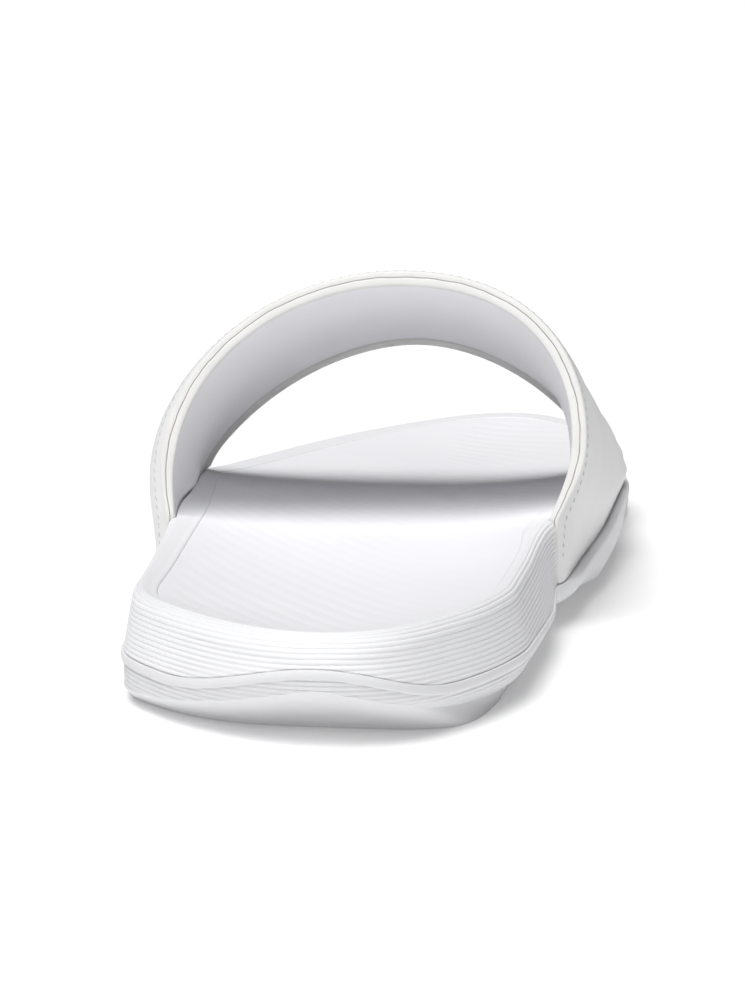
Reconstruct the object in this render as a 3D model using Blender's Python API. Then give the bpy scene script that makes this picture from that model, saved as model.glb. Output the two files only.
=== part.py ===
"""Left sport slide sandal: outsole, midsole, insole and one wide strap.

X runs from the lateral side (-) to the medial side (+), Y from the heel to the toe, Z up.
The shapes are worked out with y measured from the rear of the heel. An empty then moves them,
so that the origin is the middle of the flat spot under the heel.
"""
import bpy
import bmesh
import numpy as np

MM = 0.001

# Sole sizes
LENGTH = 286 * MM
BALL_WIDTH = 99 * MM          # of the midsole where its side meets the outsole
SOLE_HEIGHT = 21 * MM         # rim of the footbed at the heel
HEEL_ROUND = 50 * MM          # length of the rounded rear end
TOE_ROUND = 86 * MM           # length of the rounded front end
HEEL_BEVEL = 20 * MM          # length of the bevel at the rear of the tread
EDGE_BEVEL = 1.6 * MM         # bevel along the sides of the tread
RIM_ROLL = 1.3 * MM           # radius of the rolled rim
INSOLE_BORDER = 5.5 * MM      # bare rim of the midsole around the insole
UNDERCUT = 0.9 * MM           # of the outsole's side, down to the bevel
INSOLE_WALL = 2.6 * MM
LEDGE = 5 * MM                # level seat around the top of the outsole
CUP_SLOPE = 2.5 * MM          # from that seat down to the outsole's floor
FIT_GAP = 0.3 * MM            # between pieces that meet

# Side relief
RIB_COUNT = 6                 # moulded ribs above the step
LOWER_RIB_COUNT = 4           # and below its bead
RIB_DEPTH = 0.45 * MM
BEAD_HEIGHT = 1.8 * MM
BEAD_PROUD = 0.5 * MM

# Tread
CHANNEL_BORDER = 9 * MM       # from the edge of the tread to its ring channel
CHANNEL_WIDTH = 2.4 * MM
TREAD_DEPTH = 1.6 * MM
FLEX_GROOVES = (0.56, 0.69, 0.82, 0.95)   # across the ball, as shares of the strap's feet
FLEX_GROOVE_WIDTH = 3.2 * MM

# Strap sizes
STRAP_HEIGHT = 73 * MM        # outside, at the rear edge
STRAP_CROWN_WALL = 3.2 * MM
STRAP_FOOT_WALL = 4.8 * MM
STRAP_EDGE_ROUND = 0.9 * MM
STRAP_NOTCH = 3.2 * MM        # how far the strap's legs are let into the midsole
STRAP_LIP = 1.2 * MM          # outsole standing out around the strap's legs
STRAP_PLACE = 0.3794          # rear edge of both legs, share of LENGTH
STRAP_WIDTH_LATERAL = 87.5 * MM   # along the foot of each leg
STRAP_WIDTH_MEDIAL = 94.5 * MM
STRAP_CROWN_WIDTH = 63 * MM
STRAP_CROWN_SET = 15.5 * MM   # how far the crown's rear edge lies ahead of the legs'
LIP_RISE = 14 * MM            # length over which the outsole's lip comes out behind the strap
LIP_FALL = 40 * MM            # and goes back in front of it

# Fineness of the faces
END_STEPS = 10
STATION_PITCH = 7.6 * MM

LATERAL, MEDIAL = -1, 1

# along: share of LENGTH. lateral, medial: distance from the long axis, share of BALL_WIDTH.
OUTLINE = {
    "along":   (0.00, 0.07, 0.12, 0.18, 0.30, 0.37, 0.455, 0.56, 0.665, 0.72, 0.79, 0.86, 0.93, 1.00),
    "lateral": (.288, .356, .396, .404, .432, .449, .475, .520, .560, .522, .479, .438, .392, .300),
    "medial":  (.379, .359, .364, .376, .384, .374, .384, .416, .424, .425, .445, .480, .510, .495),
}

# along: share of LENGTH. The others: heights, share of SOLE_HEIGHT. step is the outsole's upper
# edge, rim the footbed's edge, bed its middle, core the outsole's middle, tread its underside.
HEIGHTS = {
    "along":        (0.00, 0.18, 0.24, 0.30, 0.37, 0.455, 0.56, 0.665, 0.72, 0.79, 0.92, 1.00),
    "step_lateral": (0.46, 0.45, 0.455, 0.45, 0.38, 0.46, 0.64, 0.73, 0.71, 0.66, 0.66, 0.73),
    "step_medial":  (0.46, 0.46, 0.46, 0.45, 0.37, 0.45, 0.65, 0.77, 0.78, 0.71, 0.67, 0.73),
    "rim_lateral":  (1.00, 1.01, 1.02, 1.04, 1.06, 1.06, 1.00, 0.91, 0.865, 0.85, 0.895, 0.98),
    "rim_medial":   (1.00, 1.02, 1.04, 1.07, 1.12, 1.11, 1.05, 0.975, 0.94, 0.90, 0.92, 0.98),
    "bed":          (0.83, 0.80, 0.80, 0.81, 0.84, 0.85, 0.82, 0.76, 0.74, 0.73, 0.78, 0.86),
    "core":         (0.45, 0.40, 0.39, 0.38, 0.36, 0.36, 0.36, 0.36, 0.36, 0.38, 0.45, 0.55),
    "tread":        (0.00, 0.00, 0.00, 0.04, 0.11, 0.10, 0.00, 0.00, 0.00, 0.03, 0.22, 0.42),
}

# along: share of LENGTH. lateral, medial: how far a side's top leans in, share of its height.
LEAN = {
    "along":   (0.00, 0.12, 0.30, 0.38, 0.46, 0.67, 0.80, 1.00),
    "lateral": (0.15, 0.05, 0.03, 0.00, -0.14, -0.14, 0.00, 0.20),
    "medial":  (0.15, 0.22, 0.22, 0.00, -0.14, -0.14, 0.05, 0.20),
}

# across: share of the strap's width. crown: its middle, as a share of BALL_WIDTH from the long
# axis and of STRAP_HEIGHT. spring: where the legs end and the arch springs, share of the rise
# from rim to crown. lateral_flare, medial_flare: how far a leg swings out on the way there, share
# of BALL_WIDTH. lateral, medial: power of each side's arch, 2 for an ellipse, less for a leaner one.
STRAP = {
    "across":       (0.00, 0.33, 0.67, 1.00),
    "crown_across": (0.03, 0.01, -0.01, -0.04),
    "crown_height": (1.00, 0.915, 0.825, 0.73),
    "spring":       (0.20, 0.14, 0.08, 0.04),
    "lateral_flare": (0.014, 0.012, 0.008, 0.00),
    "medial_flare": (0.032, 0.022, 0.010, 0.00),
    "lateral":      (2.05, 1.86, 1.68, 1.54),
    "medial":       (2.90, 2.25, 1.75, 1.42),
}

HEEL_HUMP = 0.29              # rise of the step at the rear, share of SOLE_HEIGHT
LENS_RISE = 0.41              # rise of the rear bevel, share of SOLE_HEIGHT
LENS_BASE = 0.12              # height of that bevel along the sides
RIB_FADE = (0.35, 0.39)       # shares of LENGTH between which the side's ribs fade out
HEEL_REST = 0.165             # middle of the heel's flat spot, share of LENGTH
AXIS_REAR = 0.8               # where the sole's middle line starts, share of HEEL_ROUND
AXIS_FRONT = 0.5              # and where it ends before the toe, share of TOE_ROUND
HUMP_SPAN = 0.8               # share of the heel's width that the step's hump takes
LENS_POWERS = (1.3, 1.1)      # shape of the bevel's upper edge around the heel
TREAD_FULLNESS = 0.5          # how much squarer the tread's rounded ends are than the side's
DISH_POWER = 2.5              # how late the footbed rises towards its rim
UPRIGHT = (0.2, 0.5)          # shares of the strap's rise: below, its wall is level
WALL_TAPER = (0.4, 1.0)       # shares of the rise between which its wall gets thinner

# Rounded corners and rows of faces
BEAD_PROFILE = ((1.0, 0.3), (1.0, 0.7), (0.5, 1.0))   # how proud, and share of its height
ROLL_TURNS = (30, 60)         # degrees, rows of the rolled rim
NOTCH_RIM = 0.3 * MM          # smallest roll of the rim above the notches
INSOLE_BEVEL = 0.3 * MM
BED_ROWS = (8 * MM, 18 * MM)  # from the insole's edge, rows of the dished footbed

STRAP_REAR = STRAP_PLACE * LENGTH
STRAP_FRONTS = (STRAP_REAR + STRAP_WIDTH_LATERAL, STRAP_REAR + STRAP_WIDTH_MEDIAL)
NOTCH_EDGE = 1.5 * FIT_GAP    # from the strap's edges to the ends of its notches


def smooth(table, column, at):
    """Read a column of a table along its first column, on a smooth curve through its rows.

    The curve turns only at rows, so it stays flat between two equal ones.
    """
    knots = np.array(table[next(iter(table))])
    values = np.array(table[column])
    steps = np.diff(values) / np.diff(knots)
    same_way = steps[:-1] * steps[1:] > 0
    both = np.where(same_way, steps[:-1] + steps[1:], 1)
    inner = np.where(same_way, 2 * steps[:-1] * steps[1:] / both, 0)
    slopes = np.concatenate([steps[:1], inner, steps[-1:]])
    at = np.clip(at, knots[0], knots[-1])
    row = np.clip(np.searchsorted(knots, at, side="right") - 1, 0, len(knots) - 2)
    span = knots[row + 1] - knots[row]
    t = (at - knots[row]) / span
    start = (1 + 2 * t) * (1 - t) ** 2 * values[row] + t * (1 - t) ** 2 * span * slopes[row]
    end = t ** 2 * (3 - 2 * t) * values[row + 1] + t ** 2 * (t - 1) * span * slopes[row + 1]
    return start + end


def ease(low, high, value):
    """Go smoothly from 0 at low to 1 at high."""
    t = np.clip((value - low) / (high - low), 0, 1)
    return t * t * (3 - 2 * t)


def height(column, y):
    return SOLE_HEIGHT * smooth(HEIGHTS, column, y / LENGTH)


def side_name(side):
    return "lateral" if side == LATERAL else "medial"


def roundness(y):
    """Share of the full width that the rounded heel and toe leave at y."""
    from_heel = np.clip(1 - y / HEEL_ROUND, 0, 1)
    from_toe = np.clip(1 - (LENGTH - y) / TOE_ROUND, 0, 1)
    return np.sqrt(1 - from_heel ** 2) * np.sqrt(1 - from_toe ** 2)


def outline_x(y, side, fullness=1.0):
    """The midsole's foot at y, on one side. A lower fullness squares the rounded ends off."""
    lateral = -BALL_WIDTH * smooth(OUTLINE, "lateral", y / LENGTH)
    medial = BALL_WIDTH * smooth(OUTLINE, "medial", y / LENGTH)
    middle = (lateral + medial) / 2
    return middle + side * (medial - lateral) / 2 * roundness(y) ** fullness


def axis_point(y):
    """The nearest point of the sole's middle line, which ends inside the rounded ends."""
    rear = AXIS_REAR * HEEL_ROUND
    front = AXIS_FRONT * TOE_ROUND
    at = np.where(y < HEEL_ROUND, rear + y * (1 - rear / HEEL_ROUND), y)
    left = LENGTH - y
    at = np.where(left < TOE_ROUND, LENGTH - front - left * (1 - front / TOE_ROUND), at)
    x = (outline_x(at, LATERAL) + outline_x(at, MEDIAL)) / 2
    return np.stack([x, at], axis=-1)


def inset_point(y, side, inset):
    """A point of the outline, moved in towards the middle line by a length."""
    edge = np.stack([outline_x(y, side), y], axis=-1)
    inward = axis_point(y) - edge
    inward /= np.linalg.norm(inward, axis=-1)[..., None]
    return edge + inward * np.asarray(inset)[..., None]


def step_height(y, side):
    """Upper edge of the outsole, with a hump at the middle of the heel."""
    rear = np.where(y < HEEL_ROUND, roundness(y), 1)
    hump = np.clip(1 - (rear / HUMP_SPAN) ** 2, 0, 1) ** 2
    return height("step_" + side_name(side), y) + SOLE_HEIGHT * HEEL_HUMP * hump


def lens_height(y):
    """Upper edge of the bevel around the tread: high at the middle of the heel."""
    rear = np.where(y < HEEL_ROUND, roundness(y), 1)
    rise = np.clip(1 - rear ** LENS_POWERS[0], 0, 1) ** LENS_POWERS[1]
    return SOLE_HEIGHT * (LENS_BASE + LENS_RISE * rise)


def side_top(y, side):
    """Top of the midsole's side, below its rolled rim."""
    return rim_height(y, side) - RIM_ROLL


def lean(y, side, share):
    """Inset of the side at a share of its height."""
    tall = side_top(y, side) - step_height(y, side)
    slope = smooth(LEAN, side_name(side), y / LENGTH)
    return tall * slope * np.sin(np.clip(share, 0, 1) * np.pi / 2)


def strap_front(side):
    return STRAP_FRONTS[0 if side == LATERAL else 1]


def notch(y, side):
    """Depth of the midsole's seat for the strap's legs."""
    inside = (y > STRAP_REAR - NOTCH_EDGE) & (y < strap_front(side) + NOTCH_EDGE)
    return np.where(inside, STRAP_NOTCH, 0)


def outsole_proud(y):
    """How far the outsole stands out from the midsole's foot: to a lip around the strap."""
    strap = STRAP_FOOT_WALL + FIT_GAP - STRAP_NOTCH + STRAP_LIP
    rise = ease(STRAP_REAR - LIP_RISE, STRAP_REAR, y)
    fall = ease(STRAP_FRONTS[0], STRAP_FRONTS[0] + LIP_FALL, y)
    return BEAD_PROUD + (strap - BEAD_PROUD) * rise * (1 - fall)


def rib_strength(y):
    return 1 - ease(RIB_FADE[0], RIB_FADE[1], y / LENGTH)


def stations(breaks):
    """Places along one side, with one at each break: closer together at the rounded ends."""
    turn = np.linspace(0, np.pi / 2, END_STEPS)
    places = list(HEEL_ROUND * (1 - np.cos(turn)))
    for stop in breaks:
        span = stop - places[-1]
        steps = max(1, round(span / STATION_PITCH))
        places += list(places[-1] + span * np.arange(1, steps + 1) / steps)
    return np.array(places + list(places[-1] + (LENGTH - places[-1]) * np.sin(turn[1:])))


def paired_stations(breaks_lateral, breaks_medial):
    """Stations of both sides, as many on each: the medial ones follow the lateral ones."""
    lateral = stations(breaks_lateral)
    knots = [0, HEEL_ROUND, *breaks_lateral, LENGTH]
    targets = [0, HEEL_ROUND, *breaks_medial, LENGTH]
    return lateral, np.interp(lateral, knots, targets)


def ring(places, point):
    """A closed loop of points: up the lateral side from heel to toe, back down the medial side."""
    lateral = point(places[0], LATERAL)
    medial = point(places[1], MEDIAL)
    return np.concatenate([lateral, medial[-2:0:-1]])


def wall_ring(places, inset, level):
    """A loop whose inset and height are functions of the place and side."""
    def point(y, side):
        flat = inset_point(y, side, inset(y, side))
        return np.concatenate([flat, np.broadcast_to(level(y, side), y.shape)[:, None]], axis=1)
    return ring(places, point)


def middle_row(places, level):
    """The row of points on the middle line that closes a stack of loops."""
    lateral = axis_point(places[0])
    medial = axis_point(places[1])
    flat = (lateral + medial) / 2
    return np.concatenate([flat, level(flat[:, 1])[:, None]], axis=1)


def principled(name, colour, roughness):
    material = bpy.data.materials.new(name)
    material.use_nodes = True
    shader = material.node_tree.nodes["Principled BSDF"]
    shader.inputs["Base Color"].default_value = (*colour, 1)
    shader.inputs["Roughness"].default_value = roughness
    shader.inputs["Metallic"].default_value = 0
    return material


def finish_object(name, mesh_builder, material, smooth_angle=40):
    """Turn a bmesh into a named, smooth-shaded object that hangs on the shoe's empty.

    Quads are split along their shorter diagonal, so that faces that meet bend the same way.
    """
    bmesh.ops.triangulate(mesh_builder, faces=mesh_builder.faces, quad_method="SHORT_EDGE")
    bmesh.ops.recalc_face_normals(mesh_builder, faces=mesh_builder.faces)
    mesh = bpy.data.meshes.new(name)
    mesh_builder.to_mesh(mesh)
    mesh_builder.free()
    mesh.shade_smooth()
    mesh.set_sharp_from_angle(angle=np.radians(smooth_angle))
    mesh.materials.append(material)
    part = bpy.data.objects.new(name, mesh)
    bpy.context.scene.collection.objects.link(part)
    part.parent = shoe
    return part


def stack(name, first_row, loops, last_row, material):
    """A closed body: loops from its underside to its top, closed by a row at either end."""
    body = bmesh.new()
    grid = [[body.verts.new(point) for point in loop] for loop in loops]
    count = len(loops[0])
    for below, above in zip(grid, grid[1:]):
        for i in range(count):
            j = (i + 1) % count
            body.faces.new((below[i], below[j], above[j], above[i]))
    close_loop(body, grid[0], first_row)
    close_loop(body, grid[-1], last_row)
    return finish_object(name, body, material)


def close_loop(body, loop, row):
    """Fill a loop with faces to the row on its middle line, with triangles at both its tips."""
    middle = [body.verts.new(point) for point in row]
    count = len(loop)
    tips = (0, count // 2)
    for i in range(count):
        j = (i + 1) % count
        inner_i = middle[min(i, count - i)]
        inner_j = middle[min(j, count - j)]
        if i in tips:
            body.faces.new((loop[i], loop[j], inner_i))
            body.faces.new((loop[j], inner_j, inner_i))
        elif j in tips:
            body.faces.new((loop[i], loop[j], inner_j))
            body.faces.new((loop[i], inner_j, inner_i))
        else:
            body.faces.new((loop[i], loop[j], inner_j, inner_i))


def rib_levels(count):
    """Shares of height and of depth of the rows that draw some rounded ribs."""
    levels = []
    for rib in range(count):
        levels += [(rib / count, 1.0), ((rib + 0.5) / count, 0.0)]
    return levels + [(1.0, 1.0)]


def tread_height(y):
    return height("tread", y)


def contact_point(y, side, inset):
    """The tread's edge: bevelled off at the rear of the heel, where it is squarer."""
    rear = np.clip(1 - y / HEEL_ROUND, 0, 1)
    moved = y + HEEL_BEVEL * rear
    edge_in = (EDGE_BEVEL - BEAD_PROUD + UNDERCUT) * (1 - rear) + inset
    x = outline_x(y, side, fullness=TREAD_FULLNESS)
    middle = axis_point(y)
    flat = np.stack([x, moved], axis=-1)
    inward = middle - flat
    reach = np.linalg.norm(inward, axis=-1)[..., None]
    return flat + inward / reach * edge_in[..., None]


def groove_middles(front):
    """Where the flex grooves cross a line along the sole, if the strap ends at front there."""
    return STRAP_REAR + np.array(FLEX_GROOVES) * (front - STRAP_REAR)


def groove_rise(y, front):
    nearest = np.min([np.abs(y - middle) for middle in groove_middles(front)], axis=0)
    return TREAD_DEPTH * np.clip(1 - 2 * nearest / FLEX_GROOVE_WIDTH, 0, 1)


def outsole_stations():
    """Stations at both edges and the middle of each flex groove, and at the strap's front."""
    breaks = []
    for front in STRAP_FRONTS:
        edges = [middle + share * FLEX_GROOVE_WIDTH
                 for middle in groove_middles(front) for share in (-0.5, 0, 0.5)]
        breaks.append(edges + [front + NOTCH_EDGE])
    return paired_stations(*breaks)


def make_outsole():
    """Lower sole: tread with a ring channel and flex grooves, beaded side, level seat on top."""
    places = outsole_stations()

    def tread_ring(inset, depth, grooved=True):
        def point(y, side):
            flat = contact_point(y, side, inset)
            groove = groove_rise(y, strap_front(side)) if grooved else 0
            level = tread_height(y) + np.maximum(depth, groove)
            return np.concatenate([flat, level[:, None]], axis=1)
        return ring(places, point)

    def middle_level(y):
        return tread_height(y) + groove_rise(y, np.mean(STRAP_FRONTS))

    loops = []
    for share, depth in ((1, 0), (0.75, TREAD_DEPTH), (0.25, TREAD_DEPTH), (0, 0)):
        loops.append(tread_ring(CHANNEL_BORDER + share * CHANNEL_WIDTH, depth))
    loops.append(tread_ring(0, 0, grooved=False))

    def lens_level(y, side):
        return tread_height(y) + lens_height(y)

    def bead_foot(y, side):
        return step_height(y, side) - BEAD_HEIGHT

    for share, depth in rib_levels(LOWER_RIB_COUNT):
        def inset(y, side, share=share, depth=depth):
            spread = outsole_proud(y) - BEAD_PROUD
            return UNDERCUT * (1 - share) ** 2 - spread + RIB_DEPTH * depth * rib_strength(y)

        def level(y, side, share=share):
            return lens_level(y, side) + share * (bead_foot(y, side) - lens_level(y, side))
        loops.append(wall_ring(places, inset, level))

    for proud, rise in BEAD_PROFILE:
        def inset(y, side, proud=proud):
            return BEAD_PROUD * (1 - proud) - outsole_proud(y)

        def level(y, side, rise=rise):
            return bead_foot(y, side) + rise * BEAD_HEIGHT
        loops.append(wall_ring(places, inset, level))
    loops.append(wall_ring(places, lambda y, side: np.full(y.shape, LEDGE), step_height))

    def floor_inset(y, side):
        return np.full(y.shape, LEDGE + CUP_SLOPE)
    loops.append(wall_ring(places, floor_inset, lambda y, side: height("core", y)))
    rows = (middle_row(places, middle_level), middle_row(places, lambda y: height("core", y)))
    rubber = principled("outsole_rubber", (0.80, 0.80, 0.81), 0.55)
    return stack("outsole", rows[0], loops, rows[1], rubber)


def rim_height(y, side):
    return height("rim_" + side_name(side), y)


def bed_height(y, side, share):
    """The footbed's surface: share is 1 at its rim and 0 on the middle line."""
    bed = height("bed", y)
    return bed + (rim_height(y, side) - bed) * share ** DISH_POWER


def bed_ring(places, inset, drop):
    """A loop on the footbed, inset from the midsole's foot and sunk by a drop."""
    def level(y, side):
        edge = inset_point(y, side, 0)
        reach = np.linalg.norm(axis_point(y) - edge, axis=-1)
        rim_inset = rolled_inset(y, side)
        share = np.clip(1 - (inset - rim_inset) / (reach - rim_inset), 0, 1)
        return bed_height(y, side, share) - drop
    return wall_ring(places, lambda y, side: np.full(y.shape, inset), level)


def rolled_inset(y, side):
    """Where the rolled rim ends and the footbed begins."""
    return lean(y, side, 1) + RIM_ROLL


def midsole_stations():
    """Stations with a pair at each end of the notches for the strap's legs."""
    step = 0.1 * FIT_GAP
    rear = STRAP_REAR - NOTCH_EDGE
    breaks = []
    for front in STRAP_FRONTS:
        front = front + NOTCH_EDGE
        breaks.append([rear - step, rear + step, front - step, front + step])
    return paired_stations(*breaks)


def make_midsole():
    """Foam midsole: ribbed side, rolled rim, seat for the insole, notches for the strap."""
    places = midsole_stations()

    def foot(y, side):
        return step_height(y, side) + FIT_GAP

    def core(y, side=None):
        return height("core", y) + FIT_GAP

    def seat_inset(depth):
        return lambda y, side: np.full(y.shape, depth + FIT_GAP)
    loops = [
        wall_ring(places, seat_inset(LEDGE + CUP_SLOPE), core),
        wall_ring(places, seat_inset(LEDGE), foot),
    ]
    for share, depth in rib_levels(RIB_COUNT):
        def inset(y, side, share=share, depth=depth):
            ribs = RIB_DEPTH * depth * rib_strength(y)
            return lean(y, side, share) + notch(y, side) + ribs

        def level(y, side, share=share):
            return foot(y, side) + share * (side_top(y, side) - foot(y, side))
        loops.append(wall_ring(places, inset, level))
    for turn in ROLL_TURNS:
        def inset(y, side, turn=turn):
            inner = notch(y, side)
            roll = np.maximum(RIM_ROLL - inner, NOTCH_RIM)
            return lean(y, side, 1) + inner + roll * (1 - np.cos(np.radians(turn)))

        def level(y, side, turn=turn):
            return rim_height(y, side) - RIM_ROLL * (1 - np.sin(np.radians(turn)))
        loops.append(wall_ring(places, inset, level))

    def rim_inset(y, side):
        notched = lean(y, side, 1) + notch(y, side) + NOTCH_RIM
        return np.maximum(rolled_inset(y, side), notched)
    loops.append(wall_ring(places, rim_inset, rim_height))
    seat = INSOLE_BORDER + 2 * RIM_ROLL
    drop = INSOLE_WALL + FIT_GAP
    loops.append(bed_ring(places, seat - FIT_GAP, 0))
    loops.append(bed_ring(places, seat - FIT_GAP, drop))
    for row in BED_ROWS:
        loops.append(bed_ring(places, seat + row, drop))

    def seat_middle(y):
        return height("bed", y) - drop
    foam = principled("midsole_foam", (0.86, 0.86, 0.87), 0.6)
    return stack("midsole", middle_row(places, core), loops, middle_row(places, seat_middle), foam)


def make_insole():
    """Footbed cover, flush with the rim of its seat."""
    places = midsole_stations()
    border = INSOLE_BORDER + 2 * RIM_ROLL
    rows = [INSOLE_BEVEL, *BED_ROWS]
    loops = [bed_ring(places, border + row, INSOLE_WALL) for row in reversed(rows)]
    loops.append(bed_ring(places, border, INSOLE_WALL - INSOLE_BEVEL))
    loops.append(bed_ring(places, border, INSOLE_BEVEL))
    loops += [bed_ring(places, border + row, 0) for row in rows]

    def under(y):
        return height("bed", y) - INSOLE_WALL
    cover = principled("insole_cover", (0.90, 0.90, 0.92), 0.7)
    bed = middle_row(places, lambda y: height("bed", y))
    return stack("insole", middle_row(places, under), loops, bed, cover)


def strap_leg(across, side, rise):
    """Inner face of one leg, from the outsole's seat (rise 0) to where the arch springs (1)."""
    y = STRAP_REAR + across * (strap_front(side) - STRAP_REAR)
    seat = step_height(y, side) + FIT_GAP
    rim = rim_height(y, side)
    crown = STRAP_HEIGHT * smooth(STRAP, "crown_height", across) - STRAP_CROWN_WALL
    spring = rim + (crown - rim) * smooth(STRAP, "spring", across)
    z = seat + rise * (spring - seat)
    share = (z - seat) / (side_top(y, side) - seat)
    flare = smooth(STRAP, side_name(side) + "_flare", across)
    swing = BALL_WIDTH * flare * ease(rim, spring, z)
    inset = lean(y, side, share) + STRAP_NOTCH - FIT_GAP - swing
    return inset_point(y, side, inset)[0], y, z


def strap_arch(across, side, turn):
    """Inner face of one half of the arch, from its springing (turn 0) to the crown (1)."""
    foot_x, foot_y, spring = strap_leg(across, side, 1)
    crown_x = BALL_WIDTH * smooth(STRAP, "crown_across", across)
    crown_y = STRAP_REAR + STRAP_CROWN_SET + across * STRAP_CROWN_WIDTH
    crown_z = STRAP_HEIGHT * smooth(STRAP, "crown_height", across) - STRAP_CROWN_WALL
    power = 2 / smooth(STRAP, side_name(side), across)
    angle = turn * np.pi / 2
    rise = np.sin(angle) ** power
    x = crown_x + (foot_x - crown_x) * np.cos(angle) ** power
    return x, foot_y + (crown_y - foot_y) * rise, spring + (crown_z - spring) * rise


def strap_grid(leg_steps=4, arch_steps=16):
    """Inner face of the strap: a row of points from the lateral to the medial foot each."""
    across_steps = round(STRAP_WIDTH_LATERAL / STATION_PITCH)
    grid = []
    for across in np.linspace(0, 1, across_steps + 1):
        halves = []
        for side in (LATERAL, MEDIAL):
            legs = [strap_leg(across, side, rise) for rise in np.arange(leg_steps) / leg_steps]
            arch = [strap_arch(across, side, turn) for turn in np.linspace(0, 1, arch_steps + 1)]
            halves.append(legs + arch)
        grid.append(halves[0] + halves[1][-2::-1])
    return np.array(grid)


def make_strap():
    """The upper: one wide band over the instep, its legs let into the midsole's sides."""
    inner = strap_grid()
    along = np.gradient(inner, axis=0)
    around = np.gradient(inner, axis=1)
    crown = inner[:, inner.shape[1] // 2, 2][:, None]
    foot = np.minimum(inner[:, 0, 2], inner[:, -1, 2])[:, None]
    rise = np.clip((inner[..., 2] - foot) / (crown - foot), 0, 1)
    normal = np.cross(around, along)
    normal[..., 1:] *= ease(*UPRIGHT, rise)[..., None]
    normal /= np.linalg.norm(normal, axis=2)[..., None]
    taper = ease(*WALL_TAPER, rise)
    wall = STRAP_FOOT_WALL + (STRAP_CROWN_WALL - STRAP_FOOT_WALL) * taper
    outer = inner + normal * wall[..., None]
    outer[:, 0, 2] = inner[:, 0, 2]
    outer[:, -1, 2] = inner[:, -1, 2]
    edge = STRAP_EDGE_ROUND
    loops = []
    for i in range(inner.shape[1]):
        forward = inner[1:, i] - inner[:-1, i]
        forward /= np.linalg.norm(forward, axis=1)[:, None]
        up = (outer[:, i] - inner[:, i]) * (edge / wall[:, i])[:, None]
        rear_in, rear_out = inner[0, i], outer[0, i]
        front_in, front_out = inner[-1, i], outer[-1, i]
        loop = [rear_in + forward[0] * edge, *inner[1:-1, i], front_in - forward[-1] * edge,
                front_in + up[-1], front_out - up[-1],
                front_out - forward[-1] * edge, *outer[-2:0:-1, i], rear_out + forward[0] * edge,
                rear_out - up[0], rear_in + up[0]]
        loops.append(loop)
    body = bmesh.new()
    grid = [[body.verts.new(point) for point in loop] for loop in loops]
    count = len(loops[0])
    for left, right in zip(grid, grid[1:]):
        for i in range(count):
            j = (i + 1) % count
            body.faces.new((left[i], left[j], right[j], right[i]))
    across = inner.shape[0]
    for end in (grid[0], grid[-1]):
        inside, outside = end[:across], end[across + 2:2 * across + 2][::-1]
        for i in range(across - 1):
            body.faces.new((inside[i], inside[i + 1], outside[i + 1], outside[i]))
        body.faces.new((inside[-1], end[across], end[across + 1], outside[-1]))
        body.faces.new((inside[0], outside[0], end[-2], end[-1]))
    upper = principled("strap_upper", (0.88, 0.88, 0.87), 0.5)
    return finish_object("strap", body, upper)


for old in list(bpy.data.objects):
    bpy.data.objects.remove(old, do_unlink=True)
shoe = bpy.data.objects.new("shoe_origin", None)
bpy.context.scene.collection.objects.link(shoe)
shoe.location = (0, -HEEL_REST * LENGTH, 0)
make_outsole()
make_midsole()
make_insole()
make_strap()
bpy.context.view_layer.update()
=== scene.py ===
"""Looks of a left sport slide sandal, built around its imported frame.

X runs from the lateral side (-) to the medial side (+), Y from the heel to the toe, Z up.
The shapes are worked out with y measured from the rear of the heel, as in the frame's source,
and every finished mesh is moved back so that the origin lies under the heel.
"""

import bpy
import numpy as np
from mathutils import Matrix, Vector


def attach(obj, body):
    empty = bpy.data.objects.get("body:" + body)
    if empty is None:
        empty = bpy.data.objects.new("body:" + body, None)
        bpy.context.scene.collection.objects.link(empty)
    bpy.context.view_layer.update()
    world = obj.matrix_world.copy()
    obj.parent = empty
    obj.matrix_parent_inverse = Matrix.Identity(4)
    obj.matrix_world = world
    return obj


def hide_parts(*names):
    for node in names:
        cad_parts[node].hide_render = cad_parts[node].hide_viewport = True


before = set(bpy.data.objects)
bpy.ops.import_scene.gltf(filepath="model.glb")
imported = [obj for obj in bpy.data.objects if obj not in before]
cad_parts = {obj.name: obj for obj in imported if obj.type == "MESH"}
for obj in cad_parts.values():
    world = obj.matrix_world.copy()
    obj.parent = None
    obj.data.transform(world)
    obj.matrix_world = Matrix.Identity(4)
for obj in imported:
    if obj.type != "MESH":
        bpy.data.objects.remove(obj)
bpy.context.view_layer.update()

MM = 0.001
LATERAL, MEDIAL = -1, 1

# Sole sizes, as in the frame
LENGTH = 286 * MM
BALL_WIDTH = 99 * MM          # about the greatest width of the midsole's foot
SOLE_HEIGHT = 21 * MM         # rim of the footbed at the heel
HEEL_ROUND = 50 * MM          # length of the rounded rear end
TOE_ROUND = 86 * MM           # length of the rounded front end
HEEL_BEVEL = 20 * MM          # length of the bevel at the rear of the tread
EDGE_BEVEL = 1.6 * MM         # bevel along the sides of the tread
INSOLE_WALL = 2.6 * MM
LEDGE = 5 * MM                # level seat around the top of the outsole
CUP_SLOPE = 2.5 * MM          # from that seat down to the outsole's floor
FIT_GAP = 0.3 * MM            # between pieces that meet
FRAME_ROLL = 1.3 * MM         # the frame's rolled rim, which sets the insole's place
BEAD_HEIGHT = 1.8 * MM
BEAD_PROUD = 0.5 * MM
CHANNEL_BORDER = 9 * MM       # from the edge of the tread to its ring channel
CHANNEL_WIDTH = 2.4 * MM
TREAD_DEPTH = 1.6 * MM
FLEX_GROOVES = (0.56, 0.69, 0.82, 0.95)   # across the ball, as shares along the strap's feet
FLEX_GROOVE_WIDTH = 3.2 * MM
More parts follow.
